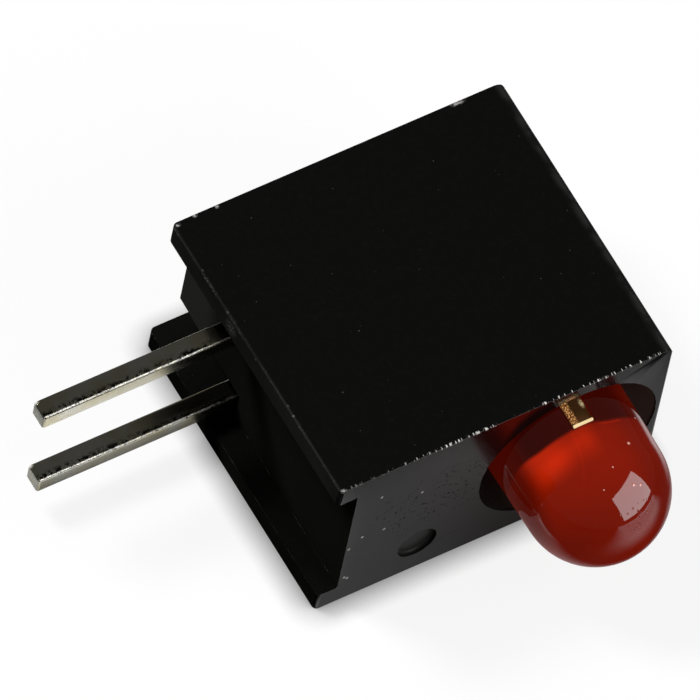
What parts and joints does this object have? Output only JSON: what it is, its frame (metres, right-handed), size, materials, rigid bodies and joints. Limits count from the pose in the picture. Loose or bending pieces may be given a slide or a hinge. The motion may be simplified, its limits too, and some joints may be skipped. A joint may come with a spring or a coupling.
{
  "type": "through hole led",
  "caption": "Right-angle board indicator: red tinted 3 mm LED in a black moulded housing, with square leads bent down to the board.",
  "frame": {"origin": "midway between the two leads, where they pass the plane of the housing's board face", "axes": "+X from the board up the housing, so the lead ends point along -X; the LED's dome points along -Y; +Z across the housing's width, up when it lies on its side"},
  "size_m": [0.0114, 0.0091, 0.0044],
  "materials": {
    "housing_black": "black moulded nylon, satin, with worn edges and fine specks",
    "lens_red": "glossy red tinted epoxy, see-through near the surface",
    "tinned_lead": "bright tin plate with rough sheared edges",
    "chip": "smooth semiconductor",
    "silver_glue": "silver filled glue",
    "gold_wire": "bright gold wire"
  },
  "bodies": {
    "root": {"housing": "housing_black", "lens": "lens_red", "anode_lead": "tinned_lead", "cathode_lead": "tinned_lead", "led_chip": "chip", "die_attach": "silver_glue", "bond_wire": "gold_wire"}
  },
  "joints": []
}
